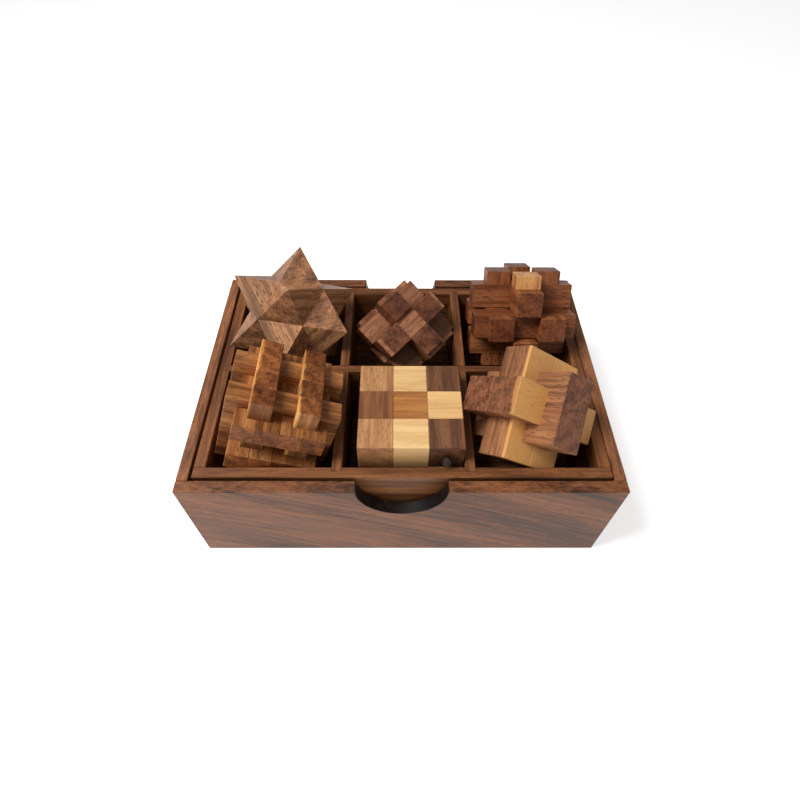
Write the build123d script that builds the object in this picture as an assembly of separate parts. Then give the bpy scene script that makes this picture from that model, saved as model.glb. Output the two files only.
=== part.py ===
from build123d import *
import os

os.makedirs("parts", exist_ok=True)

# Frame: origin at the centre of the case bottom, +X along the long side, +Y to the rear, +Z up, mm.

# Outer case: front and rear boards run the full length, the side boards stand between them.
case_length = 270.0
case_depth = 192.0
case_height = 82.0
long_board = 8.0
side_board = 7.0
case_floor = 8.0
tongue_depth = 3.5
tongue_low = 2.5
tongue_high = 5.5
notch_radius = 27.5
edge_round = 0.8

# Tray: thin rails, two long dividers, a cross divider and a raised floor, standing on the case floor.
tray_length = 253.6
tray_depth = 171.6
tray_x = 0.6
tray_y = -0.2
rail = 7.1
tray_floor_low = 26.0
tray_floor_high = 32.0
housing = 3.0
divider_thick = 6.1
divider_left_x = -39.5
divider_right_x = 41.9
cross_y = 0.85
cross_thick = 5.5
lap_z = 57.0

# Six-piece burr: two square bars each way.
cross_bar = 22.4
cross_half_length = 35.2
cross_place = Location((81.2, -42.5, 91.4), (-171.5, 52.9, 26.8))

# Twelve-bar burrs: four square bars each way, set in a plus; spread and half length count in bar widths.
plus_bar = 16.48
plus_spread = 1.041
plus_half = 2.105
plus_place = Location((85.3, 43.1, 91.1), (-28, 0, 0))
turned_bar = 15.2
turned_spread = 1.045
turned_half = 1.75
turned_place = Location((3.0, 38.4, 82.4), (34.3, 10.5, 44.5))

# Twenty-four-stick burr: eight thin sticks each way; half length counts in stick widths.
stick = 13.49
stick_half = 2.5
stick_place = Location((-77.2, -43.2, 89.5), (-5.9, 19.6, 2.0))

# Six-piece star: twelve square double pyramids round one centre, two to a piece.
star_unit = 17.58
star_link = 6.0
star_place = Location((-78.4, 41.3, 92.65), (50.15, -31.73, 34.43))

# Snake cube: 27 cubelets threaded on one elastic cord, folded into a three-by-three-by-three cube.
cubelet = 21.6
snake_x = 5.7
snake_y = -42.15
cord_bore = 4.4
cord_thick = 2.6
knot_thick = 6.0
snake_start = (0, 2, 0)
snake_turns = "UUFDRRFLLURBBDDFLFRRBBUUFF"

# Small easing on every stick edge.
easing = 0.4

AXES = "xyz"


def save(node, solids):
    shape = solids[0] if len(solids) == 1 else Compound(children=solids)
    export_step(shape, "parts/" + node + ".step")


def span_box(lows, highs):
    """A box between its low corner and its high corner."""
    size = [high - low for low, high in zip(lows, highs)]
    return Pos(*lows) * Box(*size, align=(Align.MIN, Align.MIN, Align.MIN))


def named_box(spans):
    """A box from a low and high value for each axis letter."""
    ordered = [sorted(spans[axis]) for axis in AXES]
    return span_box([pair[0] for pair in ordered], [pair[1] for pair in ordered])


def eased(shape):
    return chamfer(shape.edges(), easing)


def around(centre, reach):
    return (centre - reach, centre + reach)


def next_axis(axis):
    return AXES[(AXES.index(axis) + 1) % 3]


def last_axis(axis):
    return AXES[(AXES.index(axis) + 2) % 3]


def cut_all(shape, tools):
    for tool in tools:
        shape = shape - tool
    return shape


def place_and_save(place, groups):
    for node, solids in groups.items():
        save(node, [place * solid for solid in solids])


# ---------------------------------------------------------------- outer case

def build_case():
    half_x = case_length / 2
    half_y = case_depth / 2
    inner_x = half_x - side_board
    inner_y = half_y - long_board
    floor_board = span_box((-inner_x, -inner_y, 0), (inner_x, inner_y, case_floor))
    tongue = span_box(
        (-inner_x - tongue_depth, -inner_y - tongue_depth, tongue_low),
        (inner_x + tongue_depth, inner_y + tongue_depth, tongue_high),
    )
    notch = Pos(0, 0, case_height) * Rot(90, 0, 0) * Cylinder(notch_radius, 2 * case_depth)
    front = span_box((-half_x, -half_y, 0), (half_x, -inner_y, case_height))
    rear = span_box((-half_x, inner_y, 0), (half_x, half_y, case_height))
    left = span_box((-half_x, -inner_y, 0), (-inner_x, inner_y, case_height))
    right = span_box((inner_x, -inner_y, 0), (half_x, inner_y, case_height))
    save("case_floor", [floor_board + tongue])
    save("case_front", [fillet(front.edges(), edge_round) - notch - tongue])
    save("case_rear", [fillet(rear.edges(), edge_round) - notch - tongue])
    save("case_left", [eased(left) - tongue])
    save("case_right", [eased(right) - tongue])


# ---------------------------------------------------------------- tray

def build_tray():
    low_x = tray_x - tray_length / 2
    high_x = tray_x + tray_length / 2
    low_y = tray_y - tray_depth / 2
    high_y = tray_y + tray_depth / 2
    inner_low = (low_x + rail, low_y + rail)
    inner_high = (high_x - rail, high_y - rail)
    floor_board = span_box(
        (inner_low[0] - housing, inner_low[1] - housing, tray_floor_low),
        (inner_high[0] + housing, inner_high[1] + housing, tray_floor_high),
    )
    cross = span_box(
        (inner_low[0] - housing, cross_y - cross_thick / 2, tray_floor_high),
        (inner_high[0] + housing, cross_y + cross_thick / 2, case_height),
    )
    dividers = {}
    for node, centre in (("left", divider_left_x), ("right", divider_right_x)):
        dividers[node] = span_box(
            (centre - divider_thick / 2, inner_low[1] - housing, tray_floor_high),
            (centre + divider_thick / 2, inner_high[1] + housing, case_height),
        )
    front = span_box((low_x, low_y, case_floor), (high_x, inner_low[1], case_height))
    rear = span_box((low_x, inner_high[1], case_floor), (high_x, high_y, case_height))
    left = span_box((low_x, inner_low[1], case_floor), (inner_low[0], inner_high[1], case_height))
    right = span_box((inner_high[0], inner_low[1], case_floor), (high_x, inner_high[1], case_height))
    let_in = [floor_board, cross, dividers["left"], dividers["right"]]
    save("tray_floor", [floor_board])
    save("tray_front", [cut_all(eased(front), let_in)])
    save("tray_rear", [cut_all(eased(rear), let_in)])
    save("tray_left", [cut_all(eased(left), let_in)])
    save("tray_right", [cut_all(eased(right), let_in)])
    # Half laps: the cross divider keeps its top half, the long dividers keep their bottom half.
    lap_top = span_box((low_x, low_y, lap_z), (high_x, high_y, case_height))
    for node, divider in dividers.items():
        save("tray_divider_" + node, [eased(divider) - (cross & lap_top)])
    lap_low = [divider - lap_top for divider in dividers.values()]
    save("tray_cross_divider", [cut_all(eased(cross), lap_low)])


# ---------------------------------------------------------------- six-piece burr

def build_cross_burr():
    width = cross_bar
    reach = (-cross_half_length, cross_half_length)
    middle = (-width / 2, width / 2)
    low = (-width, 0)
    high = (0, width)
    spans = {
        "cross_key": {"x": reach, "y": high, "z": middle},
        "cross_x_bar": {"x": reach, "y": low, "z": middle},
        "cross_y_low": {"y": reach, "z": low, "x": middle},
        "cross_y_high": {"y": reach, "z": high, "x": middle},
        "cross_z_low": {"z": reach, "x": low, "y": middle},
        "cross_z_high": {"z": reach, "x": high, "y": middle},
    }
    # Which neighbours each bar is notched for; the key is a plain bar.
    notched_for = {
        "cross_key": [],
        "cross_z_high": ["cross_key"],
        "cross_y_high": ["cross_key", "cross_z_high"],
        "cross_x_bar": ["cross_z_low", "cross_z_high", "cross_y_high"],
        "cross_y_low": ["cross_key", "cross_x_bar", "cross_z_high"],
        "cross_z_low": ["cross_key", "cross_y_low", "cross_y_high"],
    }
    groups = {}
    for node, neighbours in notched_for.items():
        tools = [named_box(spans[other]) for other in neighbours]
        groups[node] = [cut_all(eased(named_box(spans[node])), tools)]
    place_and_save(cross_place, groups)


# ---------------------------------------------------------------- twelve-bar burrs

def plus_burr(width, spread, half):
    """The twelve bars of a plus burr, keyed by axis, the axis they are offset along, and the side."""
    near = spread * width
    reach = half * width
    core = near + width / 2
    head = span_box((-width / 2, -core, core), (width / 2, width / 2 - near, reach))
    shank = span_box((0, -near, -reach), (width / 2, width / 2 - near, core))
    bars = {"key": eased(head) + shank}
    for axis in AXES:
        for offset_axis, sign in ((next_axis(axis), 1), (last_axis(axis), -1)):
            for side_name, side in (("low", -1), ("high", 1)):
                if (axis, offset_axis, side) == ("z", "y", -1):
                    continue
                node = "_".join((axis, offset_axis, side_name))
                bars[node] = plus_bar_solid(axis, offset_axis, sign, side * near, near, width, reach)
                bars[node] = bars[node] - shank
    return bars


def plus_bar_solid(axis, offset_axis, sign, offset, near, width, reach):
    """One bar with its three half laps; the laps round the key stay full and take only its shank."""
    free_axis = next_axis(axis) if sign < 0 else last_axis(axis)
    section = {offset_axis: around(offset, width / 2), free_axis: around(0.0, width / 2)}
    bar = eased(named_box({axis: (-reach, reach), **section}))
    for along in (-near, 0.0, near):
        centre = {axis: along, offset_axis: offset, free_axis: 0.0}
        if centre["x"] == 0.0 and centre["y"] == -near:
            continue
        lap_axis, lap_side = (offset_axis, sign) if along == 0.0 else (free_axis, -sign)
        lap = {axis: around(along, width / 2), **section}
        lap[lap_axis] = (centre[lap_axis], centre[lap_axis] + lap_side * width / 2)
        bar = bar - named_box(lap)
    return bar


def build_plus_burr():
    bars = plus_burr(plus_bar, plus_spread, plus_half)
    place_and_save(plus_place, {"plus_" + name: [bar] for name, bar in bars.items()})


def build_turned_burr():
    bars = plus_burr(turned_bar, turned_spread, turned_half)
    groups = {"turned_key": [bars.pop("key")]}
    for name, bar in bars.items():
        pair = "turned_" + name[:3]
        groups[pair] = groups.get(pair, []) + [bar]
    place_and_save(turned_place, groups)


# ---------------------------------------------------------------- twenty-four-stick burr

def stick_box(axis, spans):
    """A box on the stick grid, spans counted in stick widths."""
    ordered = dict(zip((axis, next_axis(axis), last_axis(axis)), spans))
    return named_box({name: [value * stick for value in span] for name, span in ordered.items()})


def grid_stick(axis, side, row):
    """One stick: side is the face of the core it lies on, row its place in that face's row of four."""
    section = (around(side, 0.5), around(row, 0.5))
    bar = eased(stick_box(axis, ((-stick_half, stick_half), *section)))
    for end in (-1, 1):
        bar = bar - stick_box(axis, (around(end, 0.5), (side, 1.5 * side), section[1]))
    if abs(row) == 0.5:
        bar = bar - stick_box(axis, ((-2, 2), section[0], (row, 2 * row)))
    return bar


def build_grid_burr():
    key_room = stick_box("x", ((-stick_half, stick_half), around(-1, 0.5), around(1.5, 0.5)))
    groups = {"grid_key": [eased(key_room)]}
    for axis in AXES:
        for side_name, side in (("low", -1), ("high", 1)):
            rows = (-1.5, -0.5, 0.5) if (axis, side) == ("x", -1) else (-1.5, -0.5, 0.5, 1.5)
            sticks = [grid_stick(axis, side, row) - key_room for row in rows]
            groups["grid_" + axis + "_" + side_name] = sticks
    place_and_save(stick_place, groups)


# ---------------------------------------------------------------- six-piece star

def star_point(**amounts):
    return tuple(star_unit * amounts.get(axis, 0) for axis in AXES)


def star_cell(first, first_side, second, second_side):
    """A square double pyramid between two half axes."""
    third = (set(AXES) - {first, second}).pop()
    near = star_point(**{first: 2 * first_side})
    far = star_point(**{first: 2 * first_side, second: 2 * second_side})
    side = star_point(**{second: 2 * second_side})
    square = [(0, 0, 0), near, far, side]
    faces = []
    for tip_side in (-1, 1):
        tip = star_point(**{first: first_side, second: second_side, third: tip_side})
        for start, end in zip(square, square[1:] + square[:1]):
            faces.append(make_face(Polyline(start, end, tip, start)))
    return Solid(Shell(faces))


def star_link_box(axis, side):
    """The square core rod that holds the two halves of a piece together."""
    half = star_link
    spans = {name: (-half, half) for name in AXES}
    spans[axis] = (side * half, side * 2 * star_unit)
    return named_box(spans)


def star_piece(axis, side):
    partner = last_axis(axis)
    crossing = next_axis(axis)
    piece = None
    link = star_link_box(axis, side)
    # The rods stop at a small hollow in the very centre.
    hollow = Box(2 * star_link, 2 * star_link, 2 * star_link)
    for way in (-1, 1):
        own = star_cell(axis, side, partner, way) - star_link_box(partner, way) - hollow
        joined = link & star_cell(axis, side, crossing, way)
        piece = own + joined if piece is None else piece + own + joined
    return piece


def build_star():
    groups = {}
    for axis in AXES:
        for side_name, side in (("low", -1), ("high", 1)):
            groups["star_" + axis + "_" + side_name] = [star_piece(axis, side)]
    place_and_save(star_place, groups)


# ---------------------------------------------------------------- snake cube

SNAKE_STEPS = {
    "R": (1, 0, 0), "L": (-1, 0, 0),
    "B": (0, 1, 0), "F": (0, -1, 0),
    "U": (0, 0, 1), "D": (0, 0, -1),
}


def snake_cells():
    cells = [snake_start]
    for turn in snake_turns:
        cells.append(tuple(a + b for a, b in zip(cells[-1], SNAKE_STEPS[turn])))
    return cells


def cell_centre(cell):
    return Vector(
        snake_x + (cell[0] - 1) * cubelet,
        snake_y + (cell[1] - 1) * cubelet,
        tray_floor_high + (cell[2] + 0.5) * cubelet,
    )


def rod(start, end, thick):
    """A round rod with ball ends between two points."""
    along = end - start
    plane = Plane(origin=start, z_dir=along)
    body = plane * Cylinder(thick / 2, along.length, align=(Align.CENTER, Align.CENTER, Align.MIN))
    return body + Pos(*start) * Sphere(thick / 2) + Pos(*end) * Sphere(thick / 2)


def build_snake():
    cells = snake_cells()
    centres = [cell_centre(cell) for cell in cells]
    ahead = Vector(0, -1, 0)
    front_face = centres[-1] + ahead * (cubelet / 2)
    knot = front_face + ahead * (knot_thick / 2)
    stops = centres + [knot]
    solids = []
    for index, centre in enumerate(centres):
        cube = Pos(*centre) * eased(Box(cubelet, cubelet, cubelet))
        cube = cube - rod(centre, stops[index + 1], cord_bore)
        if index > 0:
            cube = cube - rod(stops[index - 1], centre, cord_bore)
        solids.append(cube)
    columns = {"snake_left": [], "snake_middle": [], "snake_right": []}
    names = list(columns)
    for cell, solid in zip(cells[:-3], solids[:-3]):
        columns[names[cell[0]]].append(solid)
    for node, cubes in columns.items():
        save(node, cubes)
    save("snake_end_dark", [solids[-3], solids[-1]])
    save("snake_end_pale", [solids[-2]])
    # The cord is parted where the end row lifts off, at the top of the last cubelet below it.
    parting = (centres[-4] + centres[-3]) * 0.5
    cord = rod(centres[0], centres[1], cord_thick)
    for start, end in zip(centres[1:-4], centres[2:-3]):
        cord = cord + rod(start, end, cord_thick)
    up = Vector(0, 0, 1)
    below = Plane(origin=centres[-4], z_dir=up)
    cord = cord + below * Cylinder(
        cord_thick / 2, cubelet / 2, align=(Align.CENTER, Align.CENTER, Align.MIN)
    )
    above = Plane(origin=parting, z_dir=up)
    cord_end = above * Cylinder(
        cord_thick / 2, cubelet / 2, align=(Align.CENTER, Align.CENTER, Align.MIN)
    )
    cord_end = cord_end + rod(centres[-3], knot, cord_thick) + Pos(*knot) * Sphere(knot_thick / 2)
    save("snake_cord", [cord])
    save("snake_cord_end", [cord_end])


build_case()
build_tray()
build_cross_burr()
build_plus_burr()
build_turned_burr()
build_grid_burr()
build_star()
build_snake()
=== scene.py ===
# %% [markdown]
# # A boxed set of wooden burr puzzles
# The real thing is a small wooden case with a lift-out tray. The tray has six compartments, and in each
# lies a puzzle that comes apart: a star, four burrs and a snake cube on an elastic cord.
#
# The case, the tray and the puzzles come from the CAD model and keep their shapes here. Remodelling them
# would only lose accuracy, so this lesson is about wood: how one pattern, laid along each bar's own
# grain, makes a hundred pieces of wood look sawn from different planks.

# %% Load the frame
import math

import bmesh
import bpy
from mathutils import Matrix, Vector


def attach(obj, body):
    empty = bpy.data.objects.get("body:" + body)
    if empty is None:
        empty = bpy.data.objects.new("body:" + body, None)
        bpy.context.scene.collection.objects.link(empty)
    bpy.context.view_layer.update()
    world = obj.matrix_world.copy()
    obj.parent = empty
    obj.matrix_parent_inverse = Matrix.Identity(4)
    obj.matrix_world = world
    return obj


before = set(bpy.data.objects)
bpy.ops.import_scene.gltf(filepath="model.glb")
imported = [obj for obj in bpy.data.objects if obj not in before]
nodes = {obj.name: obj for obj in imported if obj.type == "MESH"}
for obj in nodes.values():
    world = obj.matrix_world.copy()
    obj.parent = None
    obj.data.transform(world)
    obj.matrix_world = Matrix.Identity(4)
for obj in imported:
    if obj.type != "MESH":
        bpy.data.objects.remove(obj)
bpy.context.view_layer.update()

MILLIMETRE = 0.001
AXES = "xyz"
print("parts in the frame:", len(nodes))

# %% [markdown]
# Paint charts and wood samples are usually read as ordinary screen colours from 0 to 255, while shader
# sockets want linear light. One small helper turns the first into the second, so that every colour
# further down can be written the way a maker would note it.

# %% Colour helper


def stain(red, green, blue):
    """An ordinary 0-255 colour as the linear colour a shader socket wants."""
    linear = []
    for value in (red, green, blue):
        share = value / 255
        linear.append(share / 12.92 if share <= 0.04045 else ((share + 0.055) / 1.055) ** 2.4)
    return (*linear, 1.0)


print("mid brown is", [round(part, 3) for part in stain(150, 100, 65)])

# %% [markdown]
# Node groups are built with a few short helpers: one adds a node and fills its inputs, another joins
# sockets. A value can be a plain number, a colour, or an output socket of another node, and the helper
# links or sets it as needed. This keeps each material short enough to read in one go.

# %% Node helpers
FLOAT, COLOUR, VECTOR = "NodeSocketFloat", "NodeSocketColor", "NodeSocketVector"
# The colour sockets of a Mix node, which has same-named sockets for every kind of value.
MIX_FACTOR, MIX_A, MIX_B, MIX_RESULT = 0, 6, 7, 2


def fill_inputs(tree, node, values):
    for key, value in values.items():
        socket = node.inputs[key]
        if isinstance(value, bpy.types.NodeSocket):
            tree.links.new(value, socket)
        else:
            socket.default_value = value


def add_node(tree, kind, values=None, **settings):
    node = tree.nodes.new(kind)
    for name, value in settings.items():
        setattr(node, name, value)
    fill_inputs(tree, node, values or {})
    return node


def vector_math(tree, operation, first, second=(0, 0, 0)):
    return add_node(tree, "ShaderNodeVectorMath", {0: first, 1: second}, operation=operation).outputs[0]


def scalar_math(tree, operation, first, second=0.0):
    return add_node(tree, "ShaderNodeMath", {0: first, 1: second}, operation=operation).outputs[0]


def mix_colour(tree, factor, first, second, blend_type="MIX"):
    values = {MIX_FACTOR: factor, MIX_A: first, MIX_B: second}
    node = add_node(tree, "ShaderNodeMix", values, data_type="RGBA", blend_type=blend_type)
    return node.outputs[MIX_RESULT]


def smooth_range(tree, value, low, high, to_low=0.0, to_high=1.0):
    values = {"Value": value, "From Min": low, "From Max": high, "To Min": to_low, "To Max": to_high}
    node = add_node(tree, "ShaderNodeMapRange", values, interpolation_type="SMOOTHSTEP")
    return node.outputs["Result"]


def new_group(name, inputs, outputs):
    """A shader node group with named sockets: inputs map a name to a socket kind and a default."""
    group = bpy.data.node_groups.new(name, "ShaderNodeTree")
    for socket_name, (kind, default) in inputs.items():
        socket = group.interface.new_socket(socket_name, in_out="INPUT", socket_type=kind)
        socket.default_value = default
    for socket_name, kind in outputs.items():
        group.interface.new_socket(socket_name, in_out="OUTPUT", socket_type=kind)
    return group, group.nodes.new("NodeGroupInput").outputs, group.nodes.new("NodeGroupOutput").inputs


print("helpers ready:", [helper.__name__ for helper in (add_node, mix_colour, smooth_range, new_group)])

# %% [markdown]
# All the puzzles are sawn from open-pored wood. Along the grain it shows long streaks and short dark pore
# dashes; on a sawn end the same pores are dots. A picture of wood wrapped round each bar would break at
# every edge. Solid patterns, drawn out along the grain, run on from the sides into the ends.
#
# Each stick also needs its own plank. The space is divided in cells, one to a stick, and white noise on
# the cell's number moves the pattern to another place for every cell.

# %% Wood pattern
# How much a pattern is squeezed along the grain, which draws it out on the wood.
FIGURE_SQUEEZE = (0.09, 1.0, 1.0)
STREAK_SQUEEZE = (0.06, 1.0, 1.0)
PORE_SQUEEZE = (0.2, 1.0, 1.0)
# Texture scales: the larger, the finer.
STREAKS, BANDS, RINGS, PORES = 330.0, 55.0, 42.0, 780.0


def wood_cells(group, given):
    """Coordinates counted in cells, and a random colour that is the same all over one cell."""
    divided = vector_math(group, "DIVIDE", given["Vector"], given["Cell Size"])
    counted = vector_math(group, "ADD", divided, given["Cell Shift"])
    values = {"Vector": vector_math(group, "FLOOR", counted), "W": given["Seed"]}
    luck = add_node(group, "ShaderNodeTexWhiteNoise", values, noise_dimensions="4D")
    return counted, luck.outputs["Color"]


def wood_noise(group, space, scale, detail, roughness, distortion):
    values = {
        "Vector": space, "Scale": scale, "Detail": detail,
        "Roughness": roughness, "Distortion": distortion,
    }
    return add_node(group, "ShaderNodeTexNoise", values).outputs[0]


def wood_texture(group, given, luck):
    """Fine streaks, broad bands, rings and the distance to the nearest pore."""
    plank = vector_math(group, "ADD", given["Vector"], luck)
    figure = vector_math(group, "DIVIDE", plank, given["Figure Size"])
    figure = vector_math(group, "MULTIPLY", figure, FIGURE_SQUEEZE)
    fine = vector_math(group, "MULTIPLY", plank, STREAK_SQUEEZE)
    pore_space = vector_math(group, "MULTIPLY", plank, PORE_SQUEEZE)
    streaks = wood_noise(group, fine, STREAKS, detail=5.0, roughness=0.68, distortion=0.4)
    bands = wood_noise(group, figure, BANDS, detail=2.0, roughness=0.5, distortion=1.2)
    ring_values = {
        "Vector": figure, "Scale": RINGS, "Distortion": 5.0, "Detail": 2.0,
        "Detail Scale": 1.5, "Detail Roughness": 0.55,
    }
    rings = add_node(group, "ShaderNodeTexWave", ring_values, bands_direction="DIAGONAL").outputs["Fac"]
    pore_values = {"Vector": pore_space, "Scale": PORES, "Randomness": 1.0}
    pores = add_node(group, "ShaderNodeTexVoronoi", pore_values).outputs["Distance"]
    return streaks, bands, rings, pores


print("texture scales:", STREAKS, BANDS, RINGS, PORES)

# %% [markdown]
# The patterns become colour in five small functions. The tone runs from dark to light; two woods take
# turns from cell to cell, unless both are the same; a pale side lies beyond an uneven line, which is
# sapwood, the pale outer wood of the tree, on the six-piece burr and a painted highlight on the stick
# burr's left faces; every stick gets a shade of its own, and darker sticks are also redder; last come the
# pores. On the pale side they hardly show. Sawn ends soak up more oil, so they are darker and full of
# pores.

# %% Wood colour
STREAK_SHARE, BAND_SHARE, RING_SHARE = 1.2, 0.5, 0.14
TONE_OFFSET = 0.28
TONE_LOW, TONE_HIGH = 0.34, 0.94
PORE_CORE, PORE_RIM = 0.16, 0.4
PATCH_LOW, PATCH_HIGH = 0.4, 0.56
# The pale side below is sapwood on the six-piece burr and a painted highlight on the stick burr's lit left
# faces.
SAP_AND_LIT_WANDER = 6 * MILLIMETRE
SAP_AND_LIT_BLUR_LOW, SAP_AND_LIT_BLUR_HIGH = -0.5 * MILLIMETRE, 1.2 * MILLIMETRE
SAP_AND_LIT_FIGURE = 0.35
SAP_AND_LIT_PORES = 0.3
GREEN_SWING, BLUE_SWING = 1.25, 1.5


def scaled(group, value, factor):
    return scalar_math(group, "MULTIPLY", value, factor)


def wood_tone(group, streaks, bands, rings):
    """Dark to light, mostly by the fine streaks."""
    tone = scalar_math(group, "SUBTRACT", scaled(group, streaks, STREAK_SHARE), TONE_OFFSET)
    tone = scalar_math(group, "ADD", tone, scaled(group, bands, BAND_SHARE))
    tone = scalar_math(group, "ADD", tone, scaled(group, rings, RING_SHARE))
    return smooth_range(group, tone, TONE_LOW, TONE_HIGH)


def heartwood(group, given, tone, counted):
    """Two woods that alternate from cell to cell, or one wood where both pairs of colours are equal."""
    values = {"Vector": counted, "Color1": (0, 0, 0, 1), "Color2": (1, 1, 1, 1), "Scale": 1.0}
    checker = add_node(group, "ShaderNodeTexChecker", values).outputs["Fac"]
    dark = mix_colour(group, checker, given["Other Dark"], given["Dark"])
    light = mix_colour(group, checker, given["Other Light"], given["Light"])
    return mix_colour(group, tone, dark, light)


# Pale side beyond a wandering line: sapwood on the six-piece burr, a painted highlight on the stick burr's
# left faces.
def sapwood_and_lit_side_mask(group, given, bands):
    values = {0: given["Vector"], 1: given["Sap And Lit Direction"]}
    along = add_node(group, "ShaderNodeVectorMath", values, operation="DOT_PRODUCT").outputs["Value"]
    wander = scaled(group, scalar_math(group, "SUBTRACT", bands, 0.5), SAP_AND_LIT_WANDER)
    beyond = scalar_math(group, "SUBTRACT", scalar_math(group, "ADD", along, wander), given["Sap And Lit Edge"])
    return smooth_range(group, beyond, SAP_AND_LIT_BLUR_LOW, SAP_AND_LIT_BLUR_HIGH)


def stick_shade(group, given, luck):
    """One grey-to-red multiplier for a whole stick."""
    chance = add_node(group, "ShaderNodeSeparateColor", {"Color": luck}).outputs[0]
    swing = scaled(group, scalar_math(group, "SUBTRACT", chance, 0.5), given["Shade Spread"])
    shade = scalar_math(group, "ADD", swing, 1.0)
    values = {
        "Red": shade,
        "Green": scalar_math(group, "POWER", shade, GREEN_SWING),
        "Blue": scalar_math(group, "POWER", shade, BLUE_SWING),
    }
    return add_node(group, "ShaderNodeCombineColor", values).outputs[0]


def pore_mask(group, given, pores, streaks):
    dots = smooth_range(group, pores, PORE_CORE, PORE_RIM, 1.0, 0.0)
    patches = smooth_range(group, streaks, PATCH_LOW, PATCH_HIGH)
    patches = scalar_math(group, "MAXIMUM", patches, given["End Grain"])
    return scaled(group, scaled(group, dots, patches), given["Pore Amount"])


print("sapwood line wanders over at most", SAP_AND_LIT_WANDER / MILLIMETRE, "mm")

# %% [markdown]
# All of it goes into one node group, which every wood in the scene shares. The materials keep the
# Principled shader and feed it from the group: colour, roughness and the height for the bump. Light
# streaks are a little rougher and stand a little proud, and a pore is a small pit.

# %% Sawn wood group
ROUGH_WOOD, ROUGH_STREAKS, ROUGH_PORES = 0.36, 0.25, 0.2
STREAK_HEIGHT = 0.35


def build_wood_group():
    inputs = {
        "Vector": (VECTOR, (0, 0, 0)),
        "Cell Size": (VECTOR, (10, 10, 10)),
        "Cell Shift": (VECTOR, (0.5, 0.5, 0.5)),
        "Dark": (COLOUR, stain(110, 70, 45)),
        "Light": (COLOUR, stain(165, 115, 75)),
        "Other Dark": (COLOUR, stain(110, 70, 45)),
        "Other Light": (COLOUR, stain(165, 115, 75)),
        "Pore": (COLOUR, stain(52, 30, 20)),
        # Pale side colour: sapwood, and on the stick burr's left faces a painted highlight.
        "Sapwood And Lit Side": (COLOUR, stain(222, 172, 108)),
        "Sap And Lit Direction": (VECTOR, (0, 0, 1)),
        "Sap And Lit Edge": (FLOAT, 1.0),
        "Pore Amount": (FLOAT, 0.7),
        "Shade Spread": (FLOAT, 0.25),
        "Seed": (FLOAT, 0.0),
        "Figure Size": (FLOAT, 1.0),
        "End Grain": (FLOAT, 0.0),
        "End Shade": (COLOUR, stain(196, 180, 176)),
    }
    outputs = {"Color": COLOUR, "Roughness": FLOAT, "Height": FLOAT}
    group, given, result = new_group("sawn_wood", inputs, outputs)
    counted, luck = wood_cells(group, given)
    streaks, bands, rings, pores = wood_texture(group, given, luck)
    wood = heartwood(group, given, wood_tone(group, streaks, bands, rings), counted)
    # Pale side over the heartwood: sapwood on some bars, a painted highlight on the stick burr's left
    # faces.
    sap_and_lit_side = sapwood_and_lit_side_mask(group, given, bands)
    sap_and_lit_colour = mix_colour(group, SAP_AND_LIT_FIGURE, given["Sapwood And Lit Side"], wood, "SOFT_LIGHT")
    wood = mix_colour(group, sap_and_lit_side, wood, sap_and_lit_colour)
    wood = mix_colour(group, 1.0, wood, stick_shade(group, given, luck), "MULTIPLY")
    wood = mix_colour(group, given["End Grain"], wood, given["End Shade"], "MULTIPLY")
    open_pores = pore_mask(group, given, pores, streaks)
    dots = scaled(group, open_pores, smooth_range(group, sap_and_lit_side, 0.0, 1.0, 1.0, SAP_AND_LIT_PORES))
    wood = mix_colour(group, dots, wood, given["Pore"])
    group.links.new(wood, result["Color"])
    rough = scalar_math(group, "ADD", scaled(group, streaks, ROUGH_STREAKS), ROUGH_WOOD)
    rough = scalar_math(group, "ADD", rough, scaled(group, dots, ROUGH_PORES))
    group.links.new(rough, result["Roughness"])
    height = scalar_math(group, "SUBTRACT", scaled(group, streaks, STREAK_HEIGHT), dots)
    group.links.new(height, result["Height"])
    return group


wood_group = build_wood_group()
print("wood group sockets:", len(wood_group.interface.items_tree))

# %% [markdown]
# Wood grain must follow each bar, not the table. A Mapping node turns a part's own coordinates into stick
# coordinates: X along the grain, Y and Z across it. A puzzle that lies tilted in its compartment is first
# turned back by its placing, and then its axes are renamed so that the grain comes first. Unwrapping every
# bar would do the same by hand, a hundred times over.

# %% Stick coordinates


def placing(position, angles):
    """A puzzle's place: millimetres, then turns about X, Y and Z, each about the turned axes."""
    turn = Matrix.Identity(3)
    for axis, angle in zip("XYZ", angles):
        turn = turn @ Matrix.Rotation(math.radians(angle), 3, axis)
    return Vector(position) * MILLIMETRE, turn


def grain_first(axis):
    """The turn that renames the axes so that the given one becomes X and the others follow in order."""
    order = [(AXES.index(axis) + step) % 3 for step in range(3)]
    return Matrix([[1.0 if column == index else 0.0 for column in range(3)] for index in order])


LEVEL = placing((0, 0, 0), (0, 0, 0))
print("grain along y reads the axes as", [list(row) for row in grain_first("y")])

# %% [markdown]
# Oiled hardwood has a soft sheen, not a gloss: a low specular level and a middling roughness do it. End
# grain is found by comparing the surface's direction with the grain, so it needs no painting by hand.

# %% Wood material
SHEEN = 0.25
PORE_DEPTH = 0.4 * MILLIMETRE
BUMP_STRENGTH = 0.25
END_STARTS, END_FULL = 0.6, 0.85


def end_grain_mask(tree, grain_direction):
    """One where the surface looks along the grain, zero on the sides."""
    surface = add_node(tree, "ShaderNodeTexCoord").outputs["Normal"]
    values = {0: surface, 1: grain_direction}
    facing = add_node(tree, "ShaderNodeVectorMath", values, operation="DOT_PRODUCT").outputs["Value"]
    return smooth_range(tree, scalar_math(tree, "ABSOLUTE", facing), END_STARTS, END_FULL)


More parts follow.
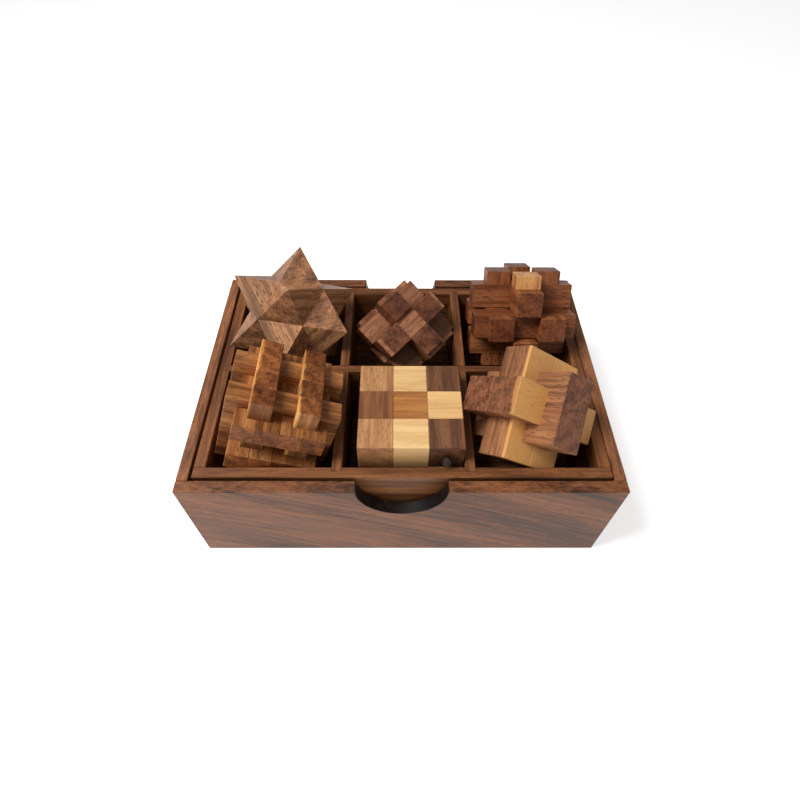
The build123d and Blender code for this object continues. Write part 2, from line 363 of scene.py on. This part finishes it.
def wood_material(name, place=LEVEL, grain="x", **values):
    """A wood whose pattern follows one grain axis of a placed puzzle."""
    material = bpy.data.materials.new(name)
    material.use_nodes = True
    tree = material.node_tree
    position, turn = place
    into_stick = grain_first(grain) @ turn.transposed()
    mapping_values = {
        "Vector": add_node(tree, "ShaderNodeTexCoord").outputs["Object"],
        "Location": -(into_stick @ position),
        "Rotation": into_stick.to_euler("XYZ"),
    }
    mapping = add_node(tree, "ShaderNodeMapping", mapping_values, vector_type="POINT")
    wood_values = {
        "Other Dark": values["Dark"], "Other Light": values["Light"],
        "Vector": mapping.outputs[0], "End Grain": end_grain_mask(tree, into_stick.row[0]), **values,
    }
    wood = add_node(tree, "ShaderNodeGroup", node_tree=wood_group)
    fill_inputs(tree, wood, wood_values)
    bump_values = {"Height": wood.outputs["Height"], "Strength": BUMP_STRENGTH, "Distance": PORE_DEPTH}
    shader_values = {
        "Base Color": wood.outputs["Color"],
        "Roughness": wood.outputs["Roughness"],
        "Normal": add_node(tree, "ShaderNodeBump", bump_values).outputs[0],
        "Specular IOR Level": SHEEN,
    }
    fill_inputs(tree, tree.nodes["Principled BSDF"], shader_values)
    return material


def dress(node, material):
    """Puts a material on a CAD part."""
    mesh = nodes[node].data
    mesh.materials.clear()
    mesh.materials.append(material)


def saw(node, place, grain, **values):
    """Gives a part its own wood, named after it."""
    dress(node, wood_material(node + "_wood", place, grain, **values))


print("sheen", SHEEN, "pore depth", PORE_DEPTH / MILLIMETRE, "mm")

# %% [markdown]
# The finger notches in the case's long boards have a nearly black cut surface, as a fast cutter leaves
# when it scorches the wood. It could be a second material on the cut faces, but the scorch creeps a
# little way onto the boards' faces too. A mask round the cutter's centre line covers both.

# %% Scorched cut group
NOTCH_RADIUS = 27.5 * MILLIMETRE
NOTCH_HEIGHT = 82 * MILLIMETRE
SCORCH_REACH = 0.6 * MILLIMETRE
SCORCH_BLUR = 0.9 * MILLIMETRE
SCORCH_WOBBLE = 1.2 * MILLIMETRE
WOBBLES = 160.0


def build_scorch_group():
    inputs = {"Color": (COLOUR, stain(140, 95, 65)), "Scorch": (COLOUR, stain(16, 10, 8))}
    group, given, result = new_group("scorched_cut", inputs, {"Color": COLOUR})
    coordinates = add_node(group, "ShaderNodeTexCoord").outputs["Object"]
    centred = vector_math(group, "SUBTRACT", coordinates, (0, 0, NOTCH_HEIGHT))
    flat = vector_math(group, "MULTIPLY", centred, (1, 0, 1))
    distance = add_node(group, "ShaderNodeVectorMath", {0: flat}, operation="LENGTH").outputs["Value"]
    noise = add_node(group, "ShaderNodeTexNoise", {"Vector": coordinates, "Scale": WOBBLES}).outputs[0]
    distance = scalar_math(group, "ADD", distance, scaled(group, noise, SCORCH_WOBBLE))
    edge = NOTCH_RADIUS + SCORCH_REACH
    scorch = smooth_range(group, distance, edge, edge + SCORCH_BLUR, 1.0, 0.0)
    group.links.new(mix_colour(group, scorch, given["Color"], given["Scorch"]), result["Color"])
    return group


scorch_group = build_scorch_group()


def scorch_notch(material):
    """Lays the scorch between a wood's colour and its shader."""
    tree = material.node_tree
    base = tree.nodes["Principled BSDF"].inputs["Base Color"]
    burnt = add_node(tree, "ShaderNodeGroup", node_tree=scorch_group)
    tree.links.new(base.links[0].from_socket, burnt.inputs["Color"])
    tree.links.new(burnt.outputs["Color"], base)


print("scorch reaches", round((NOTCH_RADIUS + SCORCH_REACH) / MILLIMETRE, 1), "mm from the centre line")

# %% [markdown]
# The case is made of five broad boards. Broad boards show broad figure, so their pattern is several times
# the size of the sticks'. The front and rear boards were sawn askew, and their bands run down the face at
# a slant; turning the grain a little off the board's own length gives just that.

# %% Case woods
CASE_WOOD = {
    "Dark": stain(58, 33, 21), "Light": stain(142, 88, 54), "Pore": stain(46, 28, 19),
    "Pore Amount": 0.4, "Shade Spread": 0.0, "Figure Size": 3.4, "End Shade": stain(235, 220, 205),
}
SIDE_WOOD = {**CASE_WOOD, "Dark": stain(76, 46, 30), "Light": stain(158, 102, 66)}
SIDE_SLANT = placing((0, 0, 0), (6, 0, 0))
for node, seed, slant in (("case_front", 3.0, 24), ("case_rear", 7.0, -14)):
    board = wood_material(node + "_wood", placing((0, 0, 0), (0, slant, 0)), "x", Seed=seed, **CASE_WOOD)
    scorch_notch(board)
    dress(node, board)
for node, seed in (("case_left", 11.0), ("case_right", 13.0)):
    saw(node, SIDE_SLANT, "y", Seed=seed, **SIDE_WOOD)
saw("case_floor", LEVEL, "x", Seed=17.0, **CASE_WOOD)
print("case boards dressed:", [name for name in nodes if name.startswith("case_")])

# %% [markdown]
# The tray is thinner stock of a warmer brown. Its rails and dividers are plain strips with the grain along
# their length, so all they need is the right grain axis and a seed each.

# %% Tray woods
TRAY_WOOD = {
    "Dark": stain(78, 44, 24), "Light": stain(140, 88, 50), "Pore": stain(52, 30, 18),
    "Pore Amount": 0.45, "Shade Spread": 0.0,
}
TRAY_GRAIN = {
    "tray_front": "x", "tray_rear": "x", "tray_cross_divider": "x", "tray_floor": "x",
    "tray_left": "y", "tray_right": "y", "tray_divider_left": "y", "tray_divider_right": "y",
}
for number, (node, grain) in enumerate(TRAY_GRAIN.items()):
    saw(node, LEVEL, grain, Seed=20.0 + number, **TRAY_WOOD)
print("tray pieces dressed:", len(TRAY_GRAIN))

# %% [markdown]
# The star is six pieces of one brown wood. They were milled from sticks that lie across each other, so
# neighbouring facets show side grain in one piece and dotted end grain in the next. That change from facet
# to facet is what makes the star sparkle, and it comes from the grain axes alone.

# %% Star woods
star_place = placing((-78.4, 41.3, 92.65), (50.15, -31.73, 34.43))
STAR_WOOD = {
    "Dark": stain(98, 64, 42), "Light": stain(192, 136, 92), "Pore": stain(52, 33, 22),
    "Pore Amount": 0.9, "Shade Spread": 0.3,
}
STAR_SIDES = {"low": 0.0, "high": 3.5}
for index, axis in enumerate(AXES):
    for side, extra_seed in STAR_SIDES.items():
        crossing = AXES[(index + 2) % 3]
        saw(f"star_{axis}_{side}", star_place, crossing, Seed=30.0 + index + extra_seed, **STAR_WOOD)
print("star pieces dressed:", len(AXES) * len(STAR_SIDES))

# %% [markdown]
# Both twelve-bar burrs are warm reddish brown, every bar a little different. The right-hand one has its key
# cut from a bright golden plank. A part's name tells its grain: its axis is the first letter after the
# family's name. In the rear-centre burr two bars share a part, so a cell is one bar wide there.

# %% Twelve-bar burr woods
plus_place = placing((85.3, 43.1, 91.1), (-28, 0, 0))
turned_place = placing((3.0, 38.4, 82.4), (34.3, 10.5, 44.5))
PLUS_WOOD = {
    "Dark": stain(100, 52, 26), "Light": stain(160, 96, 56), "Pore": stain(56, 32, 22),
    "Pore Amount": 0.85, "Shade Spread": 0.4, "End Shade": stain(205, 190, 190),
}
GOLDEN_WOOD = {
    "Dark": stain(150, 92, 48), "Light": stain(218, 158, 96), "Pore": stain(110, 68, 38),
    "Pore Amount": 0.4, "Shade Spread": 0.0, "End Shade": stain(250, 245, 240),
}
TURNED_WOOD = {
    "Dark": stain(92, 53, 35), "Light": stain(158, 104, 71), "Pore": stain(52, 30, 22),
    "Pore Amount": 0.7, "Shade Spread": 0.55,
}
KEY_GRAIN = {"plus": "z", "turned": "z", "grid": "x", "cross": "x"}
# A cell this long holds a whole bar, so it divides nothing.
UNDIVIDED = 10
TURNED_BAR = 15.2 * MILLIMETRE
TURNED_SPREAD = 1.045


def named_parts(family):
    return sorted(name for name in nodes if name.startswith(family + "_"))


def named_grain(node):
    """The axis in a part's name, or the family's own axis for its key."""
    family, axis = node.split("_")[:2]
    return KEY_GRAIN[family] if axis == "key" else axis


plus_bars = [name for name in named_parts("plus") if name != "plus_key"]
for number, node in enumerate(plus_bars):
    saw(node, plus_place, named_grain(node), Seed=40.0 + number, **PLUS_WOOD)
saw("plus_key", plus_place, named_grain("plus_key"), Seed=55.0, **GOLDEN_WOOD)

turned_width = TURNED_BAR * TURNED_SPREAD
turned_cells = {"Cell Size": (UNDIVIDED, turned_width, turned_width)}
for number, node in enumerate(named_parts("turned")):
    saw(node, turned_place, named_grain(node), Seed=60.0 + number, **turned_cells, **TURNED_WOOD)
print("twelve-bar burrs dressed:", len(plus_bars) + 1, "and", len(named_parts("turned")))

# %% [markdown]
# The twenty-four-stick burr is orange-brown. Four sticks share each CAD part, and the cells tell them
# apart: they are one stick wide, counted along the row. The upright sticks' left faces, turned to the lamp,
# get a painted highlight: the wood group's pale sapwood colour laid over them.

# %% Stick burr woods
grid_place = placing((-77.2, -43.2, 89.5), (-5.9, 19.6, 2.0))
STICK = 13.49 * MILLIMETRE
# Cells a hair larger than the sticks keep the outermost faces inside the last cell.
CELL_GROWTH = 1.001
GRID_WOOD = {
    "Dark": stain(96, 54, 26), "Light": stain(172, 112, 62), "Pore": stain(52, 30, 18),
    "Pore Amount": 0.7, "Shade Spread": 0.6, "End Shade": stain(220, 198, 180),
    "Cell Size": (UNDIVIDED, UNDIVIDED, STICK * CELL_GROWTH), "Cell Shift": (0.5, 0.5, 0.0),
}
# Depth of the painted highlight inside each lit left face.
LIT_FACE_SKIN = 1.2 * MILLIMETRE
# How far left of the burr's middle the left face of each upright row lies, in sticks; these faces get the
# painted highlight.
LIT_LEFT_FACES = {"grid_z_low": 1.5, "grid_z_high": -0.5}
# Upright rows get a painted highlight on their left faces from the sapwood colour.
for number, node in enumerate(named_parts("grid")):
    sap_and_lit_side = {}
    if node in LIT_LEFT_FACES:
        sap_and_lit_side = {"Sap And Lit Direction": (0, -1, 0), "Sap And Lit Edge": LIT_LEFT_FACES[node] * STICK - LIT_FACE_SKIN}
    saw(node, grid_place, named_grain(node), Seed=70.0 + number, **sap_and_lit_side, **GRID_WOOD)
print("stick burr parts dressed:", len(named_parts("grid")))

# %% [markdown]
# The six-piece burr has thick bars, and three of them take in the tree's sapwood: one long face of each is
# pale gold. In stick coordinates that face looks along Y or along Z, and the line lies just under it. The
# solid heartwood bars leave the sapwood line at its default, far outside the wood.

# %% Six-piece burr woods
cross_place = placing((81.2, -42.5, 91.4), (-171.5, 52.9, 26.8))
CROSS_WOOD = {
    "Light": stain(178, 120, 80), "Pore": stain(60, 38, 28), "Pore Amount": 0.7, "Shade Spread": 0.0,
    "End Shade": stain(212, 200, 206),
}
CROSS_BAR = 22.4 * MILLIMETRE
MIDDLE_BAR_SAP = {"Sap And Lit Direction": (0, 0, 1), "Sap And Lit Edge": CROSS_BAR / 2 - 2.4 * MILLIMETRE}
SIDE_BAR_SAP = {"Sap And Lit Direction": (0, 1, 0), "Sap And Lit Edge": CROSS_BAR - 2.8 * MILLIMETRE}
CROSS_BARS = {
    "cross_key": {"Dark": stain(120, 76, 50), "Seed": 80.0},
    "cross_x_bar": {"Dark": stain(84, 54, 38), "Seed": 81.0},
    "cross_y_low": {"Dark": stain(98, 62, 40), "Seed": 82.0, **MIDDLE_BAR_SAP},
    "cross_y_high": {"Dark": stain(92, 58, 38), "Seed": 83.0, **MIDDLE_BAR_SAP},
    "cross_z_low": {"Dark": stain(104, 62, 42), "Seed": 84.0},
    "cross_z_high": {"Dark": stain(104, 70, 46), "Seed": 85.0, **SIDE_BAR_SAP},
}
for node, own in CROSS_BARS.items():
    saw(node, cross_place, named_grain(node), **own, **CROSS_WOOD)
print("six-piece burr bars dressed:", len(CROSS_BARS))

# %% [markdown]
# A snake cube is made by threading cubelets of two woods in turn, so the folded cube is a checkerboard.
# Here the left column is tan and brown, the middle one cream and golden, the right one dark and pale. A
# column is one CAD part, and checkered cells alternate its two woods. Only the end row, which pulls off
# against the elastic, has parts of its own.

# %% Snake cube woods
CUBELET = 21.6 * MILLIMETRE
CUBE_X, CUBE_Y, CUBE_FLOOR = 5.7, -42.15, 32.0
half_cube = 1.5 * CUBELET / MILLIMETRE
snake_corner = placing((CUBE_X - half_cube, CUBE_Y - half_cube, CUBE_FLOOR), (0, 0, 0))
cube_cell = CUBELET * CELL_GROWTH
# The grown cells stay centred on the cube.
cube_shift = 1.5 * (1 - 1 / CELL_GROWTH)
CUBE_WOOD = {
    "Cell Size": (cube_cell,) * 3, "Cell Shift": (cube_shift,) * 3, "Pore": stain(74, 46, 30),
    "Shade Spread": 0.12, "End Shade": stain(240, 232, 226),
}
SNAKE_WOODS = {
    "snake_left": {
        "Dark": stain(104, 62, 36), "Light": stain(150, 98, 60),
        "Other Dark": stain(144, 98, 62), "Other Light": stain(190, 138, 92), "Pore Amount": 0.5,
    },
    "snake_middle": {
        "Dark": stain(206, 162, 106), "Light": stain(236, 196, 138),
        "Other Dark": stain(140, 88, 44), "Other Light": stain(190, 128, 70), "Pore Amount": 0.12,
    },
    "snake_right": {
        "Dark": stain(206, 162, 106), "Light": stain(232, 190, 130),
        "Other Dark": stain(78, 46, 28), "Other Light": stain(126, 82, 52), "Pore Amount": 0.6,
    },
    "snake_end_dark": {"Dark": stain(74, 44, 27), "Light": stain(124, 82, 54), "Pore Amount": 0.9},
    "snake_end_pale": {"Dark": stain(200, 154, 98), "Light": stain(232, 188, 126), "Pore Amount": 0.1},
}
CROSSWISE = ("snake_middle", "snake_end_pale")
for number, (node, woods) in enumerate(SNAKE_WOODS.items()):
    saw(node, snake_corner, "x" if node in CROSSWISE else "y", Seed=90.0 + number, **woods, **CUBE_WOOD)
print("snake cube parts dressed:", len(SNAKE_WOODS))

# %% [markdown]
# The cubelets are threaded on a dark elastic cord, which ends in a small knot on the front of the last one.
# The CAD model has the cord and a plain ball for the knot. A full knotted curve could replace the ball, but
# the knot is only six millimetres across. So two leaning loops are sunk in the ball, and only a low ridge
# of strand stands out of it. A loop is a small circle of vertices spun round the loop's axis.

# %% Elastic and knot
KNOT_CENTRE = Vector((27.3, -77.4, 86.0)) * MILLIMETRE
LOOP_RADIUS = 2.4 * MILLIMETRE
STRAND_RADIUS = 1.1 * MILLIMETRE
LOOP_UPRIGHT = 80
LOOP_LEANS = {"knot_ring_left": 38, "knot_ring_right": -42}
STRAND_SIDES, LOOP_STEPS = 12, 28
WEAVES = 1800.0


def elastic_material():
    material = bpy.data.materials.new("elastic")
    material.use_nodes = True
    tree = material.node_tree
    coordinates = add_node(tree, "ShaderNodeTexCoord").outputs["Object"]
    weave = add_node(tree, "ShaderNodeTexNoise", {"Vector": coordinates, "Scale": WEAVES}).outputs[0]
    shader_values = {
        "Base Color": mix_colour(tree, weave, stain(18, 14, 12), stain(52, 40, 33)),
        "Roughness": smooth_range(tree, weave, 0.3, 0.7, 0.25, 0.5),
        "Specular IOR Level": 0.3,
    }
    fill_inputs(tree, tree.nodes["Principled BSDF"], shader_values)
    return material


def degrees_about(axis, angle):
    return Matrix.Rotation(math.radians(angle), 3, axis)


def loop_mesh(turn):
    """A ring round the knot's centre, made by spinning a small upright circle."""
    mesh = bmesh.new()
    circle = bmesh.ops.create_circle(mesh, radius=STRAND_RADIUS, segments=STRAND_SIDES)
    bmesh.ops.rotate(mesh, verts=circle["verts"], matrix=degrees_about("X", 90))
    bmesh.ops.translate(mesh, verts=circle["verts"], vec=(LOOP_RADIUS, 0, 0))
    bmesh.ops.spin(
        mesh, geom=mesh.verts[:] + mesh.edges[:], cent=(0, 0, 0), axis=(0, 0, 1),
        angle=math.tau, steps=LOOP_STEPS, use_merge=True,
    )
    bmesh.ops.recalc_face_normals(mesh, faces=mesh.faces[:])
    bmesh.ops.rotate(mesh, verts=mesh.verts[:], matrix=turn)
    bmesh.ops.translate(mesh, verts=mesh.verts[:], vec=KNOT_CENTRE)
    return mesh


def new_object(name, mesh, material):
    """An object at the origin from a finished bmesh."""
    data = bpy.data.meshes.new(name)
    mesh.to_mesh(data)
    mesh.free()
    data.materials.append(material)
    piece = bpy.data.objects.new(name, data)
    bpy.context.scene.collection.objects.link(piece)
    return piece


elastic = elastic_material()
for node in ("snake_cord", "snake_cord_end"):
    dress(node, elastic)
for name, lean in LOOP_LEANS.items():
    turn = degrees_about("Z", lean) @ degrees_about("X", LOOP_UPRIGHT)
    loop = new_object(name, loop_mesh(turn), elastic)
    loop.data.shade_smooth()
    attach(loop, "snake_end_row")
print("knot loops tied:", list(LOOP_LEANS))

# %% [markdown]
# The set stands on a pale floor, as in a small product studio. The floor is matt and glows a little, which
# keeps it white right up to the case without bleaching the wood; a brighter lamp would bleach both. A white
# surround fills the shadows softly.

# %% Floor and surround
FLOOR_REACH = 6.0
SURROUND_STRENGTH = 0.3
floor_paint = bpy.data.materials.new("floor_paint")
floor_paint.use_nodes = True
paint_values = {
    "Base Color": (0.93, 0.93, 0.93, 1), "Roughness": 0.9, "Specular IOR Level": 0.0,
    "Emission Color": (1, 1, 1, 1), "Emission Strength": 0.55,
}
fill_inputs(floor_paint.node_tree, floor_paint.node_tree.nodes["Principled BSDF"], paint_values)
floor_mesh = bmesh.new()
bmesh.ops.create_grid(floor_mesh, x_segments=1, y_segments=1, size=FLOOR_REACH)
floor = new_object("studio_floor", floor_mesh, floor_paint)

surround = bpy.data.worlds.new("surround")
surround.use_nodes = True
surround_values = {"Color": (1, 1, 1, 1), "Strength": SURROUND_STRENGTH}
fill_inputs(surround.node_tree, surround.node_tree.nodes["Background"], surround_values)
bpy.context.scene.world = surround
print("floor reaches", FLOOR_REACH, "m each way")

# %% [markdown]
# One large soft lamp stands high on the left and a weak one low on the front right. Two are enough: the
# first shapes the facets and the second keeps the near faces readable. The camera looks down at about
# fifty degrees from just before the case, with a short lens, so that the case narrows towards its foot.

# %% Lamps and camera
CAMERA_PLACE = (-3.15, -249.28, 366.6)
CAMERA_PITCH, CAMERA_YAW, CAMERA_ROLL = 0.9079, -0.0104, 0.0094
LENS, SENSOR = 24.404, 36.0
NEAREST = 10 * MILLIMETRE


def soft_lamp(name, place, target, width, power):
    lamp = bpy.data.lights.new(name, "AREA")
    lamp.size = width
    lamp.energy = power
    holder = bpy.data.objects.new(name, lamp)
    holder.location = place
    aim = Vector(target) - Vector(place)
    holder.rotation_euler = aim.to_track_quat("-Z", "Y").to_euler()
    bpy.context.scene.collection.objects.link(holder)


def add_camera():
    lens = bpy.data.cameras.new("camera")
    lens.sensor_width = SENSOR
    lens.lens = LENS
    lens.clip_start = NEAREST
    camera = bpy.data.objects.new("camera", lens)
    tilt = Matrix.Rotation(math.pi / 2 - CAMERA_PITCH, 3, "X")
    look = Matrix.Rotation(CAMERA_YAW, 3, "Z") @ tilt @ Matrix.Rotation(CAMERA_ROLL, 3, "Z")
    camera.matrix_world = Matrix.Translation(Vector(CAMERA_PLACE) * MILLIMETRE) @ look.to_4x4()
    bpy.context.scene.collection.objects.link(camera)
    bpy.context.scene.camera = camera


soft_lamp("window_lamp", (-0.5, -0.15, 0.95), (0, 0, 0.08), width=0.4, power=10.5)
soft_lamp("fill_lamp", (0.5, -0.9, 0.5), (0, 0, 0.05), width=0.8, power=0.9)
add_camera()
bpy.context.scene.view_settings.view_transform = "Standard"
print("camera stands", CAMERA_PLACE, "mm from the middle of the case's foot")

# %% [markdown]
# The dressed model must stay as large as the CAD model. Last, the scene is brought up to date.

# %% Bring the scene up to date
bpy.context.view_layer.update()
